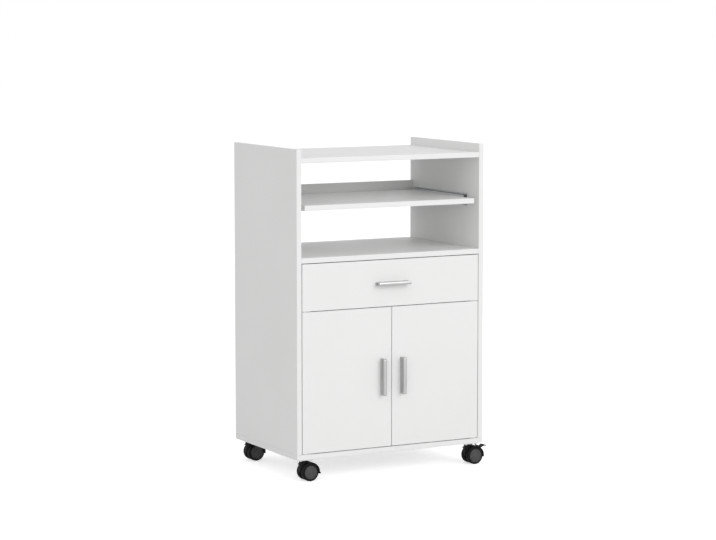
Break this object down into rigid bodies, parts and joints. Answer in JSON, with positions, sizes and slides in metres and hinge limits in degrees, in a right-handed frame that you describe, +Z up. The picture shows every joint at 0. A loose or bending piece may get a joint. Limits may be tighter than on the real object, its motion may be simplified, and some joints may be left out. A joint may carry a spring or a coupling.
{
  "type": "microwave cart",
  "caption": "White board cart on black twin-wheel casters, with an open niche and pull-out shelf above a drawer and a two-door cupboard",
  "frame": {"origin": "on the floor under the middle of the whole cart's box, which takes in the handles in front and the brake lever on the right", "axes": "+X runs to the right along the cart's width, +Y to its back, and +Z up; the fronts face -Y"},
  "size_m": [0.625, 0.423, 0.93],
  "materials": {
    "white_laminate": "satin white melamine coating on particle board, finely pebbled",
    "white_hardboard": "thin white-coated hardboard",
    "satin_silver": "satin silver plated zinc",
    "zinc_steel": "bright zinc-plated sheet steel",
    "bright_steel": "polished plated steel",
    "birch": "fluted birch dowel",
    "black_plastic": "lightly textured black moulded plastic",
    "dark_grey_tread": "hard dark grey plastic wheels, slightly dusty treads",
    "white_nylon": "white moulded nylon"
  },
  "bodies": {
    "cabinet": {"left_side_panel": "white_laminate", "right_side_panel": "white_laminate", "top_board": "white_laminate", "niche_floor_board": "white_laminate", "bottom_board": "white_laminate", "divider_rail": "white_laminate", "rear_rail": "white_laminate", "back_panel": "white_hardboard", "cupboard_shelf": "white_laminate", "shelf_pins": "zinc_steel", "dowels": "birch", "cam_fittings": "zinc_steel", "base_screws": "zinc_steel", "hardware_screws": "zinc_steel", "shelf_slide_rails": "zinc_steel", "drawer_slide_rails": "zinc_steel", "hinge_plates": "zinc_steel", "magnetic_catch": "white_nylon", "caster_plates": "zinc_steel"},
    "left_door": {"left_door": "white_laminate", "left_door_handle": "satin_silver", "left_handle_screws": "zinc_steel", "left_hinge_bushes": "white_nylon", "left_strike_plate": "zinc_steel"},
    "right_door": {"right_door": "white_laminate", "right_door_handle": "satin_silver", "right_handle_screws": "zinc_steel", "right_hinge_bushes": "white_nylon", "right_strike_plate": "zinc_steel"},
    "drawer": {"drawer_front": "white_laminate", "drawer_left_side": "white_laminate", "drawer_right_side": "white_laminate", "drawer_back": "white_laminate", "drawer_bottom": "white_hardboard", "drawer_handle": "satin_silver", "drawer_screws": "zinc_steel", "drawer_slide_runners": "zinc_steel"},
    "drawer_cages": {"drawer_ball_cages": "bright_steel"},
    "shelf": {"pull_out_shelf": "white_laminate", "shelf_slide_runners": "zinc_steel", "shelf_screws": "zinc_steel"},
    "shelf_cages": {"shelf_ball_cages": "bright_steel"},
    "front_left_fork": {"front_left_hood": "black_plastic", "front_left_axle": "bright_steel"},
    "front_left_outer_wheel": {"front_left_outer_wheel": "dark_grey_tread"},
    "front_left_inner_wheel": {"front_left_inner_wheel": "dark_grey_tread"},
    "front_right_fork": {"front_right_hood": "black_plastic", "front_right_axle": "bright_steel"},
    "front_right_outer_wheel": {"front_right_outer_wheel": "dark_grey_tread"},
    "front_right_inner_wheel": {"front_right_inner_wheel": "dark_grey_tread"},
    "rear_left_fork": {"rear_left_hood": "black_plastic", "rear_left_axle": "bright_steel"},
    "rear_left_outer_wheel": {"rear_left_outer_wheel": "dark_grey_tread"},
    "rear_left_inner_wheel": {"rear_left_inner_wheel": "dark_grey_tread"},
    "rear_right_fork": {"rear_right_hood": "black_plastic", "rear_right_axle": "bright_steel"},
    "rear_right_outer_wheel": {"rear_right_outer_wheel": "dark_grey_tread"},
    "rear_right_inner_wheel": {"rear_right_inner_wheel": "dark_grey_tread"},
    "front_right_brake": {"front_right_brake_lever": "black_plastic"},
    "rear_left_brake": {"rear_left_brake_lever": "black_plastic"}
  },
  "joints": [
    {"name": "left_door_hinge", "type": "hinge", "parent": "cabinet", "child": "left_door", "pos_m": [-0.2865, -0.1835, 0.08], "axis": [0, 0, -1], "range_deg": [0, 100]},
    {"name": "right_door_hinge", "type": "hinge", "parent": "cabinet", "child": "right_door", "pos_m": [0.2615, -0.1835, 0.08], "axis": [0, 0, 1], "range_deg": [0, 100]},
    {"name": "drawer_slide", "type": "slide", "parent": "cabinet", "child": "drawer", "axis": [0, -1, 0], "range_m": [0, 0.225]},
    {"name": "drawer_cage_slide", "type": "slide", "parent": "cabinet", "child": "drawer_cages", "axis": [0, -1, 0], "range_m": [0, 0.1125]},
    {"name": "shelf_slide", "type": "slide", "parent": "cabinet", "child": "shelf", "axis": [0, -1, 0], "range_m": [0, 0.225]},
    {"name": "shelf_cage_slide", "type": "slide", "parent": "cabinet", "child": "shelf_cages", "axis": [0, -1, 0], "range_m": [0, 0.1125]},
    {"name": "front_left_swivel", "type": "hinge", "parent": "cabinet", "child": "front_left_fork", "pos_m": [-0.2805, -0.1615, 0.0585], "axis": [0, 0, 1], "continuous": true},
    {"name": "front_left_outer_wheel_spin", "type": "hinge", "parent": "front_left_fork", "child": "front_left_outer_wheel", "pos_m": [-0.2665, -0.1745, 0.025], "axis": [0, 1, 0], "continuous": true},
    {"name": "front_left_inner_wheel_spin", "type": "hinge", "parent": "front_left_fork", "child": "front_left_inner_wheel", "pos_m": [-0.2665, -0.1485, 0.025], "axis": [0, 1, 0], "continuous": true},
    {"name": "front_right_swivel", "type": "hinge", "parent": "cabinet", "child": "front_right_fork", "pos_m": [0.2555, -0.1615, 0.0585], "axis": [0, 0, 1], "continuous": true},
    {"name": "front_right_outer_wheel_spin", "type": "hinge", "parent": "front_right_fork", "child": "front_right_outer_wheel", "pos_m": [0.2695, -0.1745, 0.025], "axis": [0, 1, 0], "continuous": true},
    {"name": "front_right_inner_wheel_spin", "type": "hinge", "parent": "front_right_fork", "child": "front_right_inner_wheel", "pos_m": [0.2695, -0.1485, 0.025], "axis": [0, 1, 0], "continuous": true},
    {"name": "rear_left_swivel", "type": "hinge", "parent": "cabinet", "child": "rear_left_fork", "pos_m": [-0.2805, 0.1845, 0.0585], "axis": [0, 0, 1], "continuous": true},
    {"name": "rear_left_outer_wheel_spin", "type": "hinge", "parent": "rear_left_fork", "child": "rear_left_outer_wheel", "pos_m": [-0.2665, 0.1975, 0.025], "axis": [0, 1, 0], "continuous": true},
    {"name": "rear_left_inner_wheel_spin", "type": "hinge", "parent": "rear_left_fork", "child": "rear_left_inner_wheel", "pos_m": [-0.2665, 0.1715, 0.025], "axis": [0, 1, 0], "continuous": true},
    {"name": "rear_right_swivel", "type": "hinge", "parent": "cabinet", "child": "rear_right_fork", "pos_m": [0.2555, 0.1845, 0.0585], "axis": [0, 0, 1], "continuous": true},
    {"name": "rear_right_outer_wheel_spin", "type": "hinge", "parent": "rear_right_fork", "child": "rear_right_outer_wheel", "pos_m": [0.2695, 0.1975, 0.025], "axis": [0, 1, 0], "continuous": true},
    {"name": "rear_right_inner_wheel_spin", "type": "hinge", "parent": "rear_right_fork", "child": "rear_right_inner_wheel", "pos_m": [0.2695, 0.1715, 0.025], "axis": [0, 1, 0], "continuous": true},
    {"name": "front_right_brake_hinge", "type": "hinge", "parent": "front_right_fork", "child": "front_right_brake", "pos_m": [0.2845, -0.1615, 0.04], "axis": [0, 1, 0], "range_deg": [0, 10]},
    {"name": "rear_left_brake_hinge", "type": "hinge", "parent": "rear_left_fork", "child": "rear_left_brake", "pos_m": [-0.2515, 0.1845, 0.04], "axis": [0, 1, 0], "range_deg": [0, 10]}
  ],
  "couplings": [
    {"joint": "drawer_cage_slide", "follows": "drawer_slide", "ratio": 0.5},
    {"joint": "shelf_cage_slide", "follows": "shelf_slide", "ratio": 0.5}
  ]
}
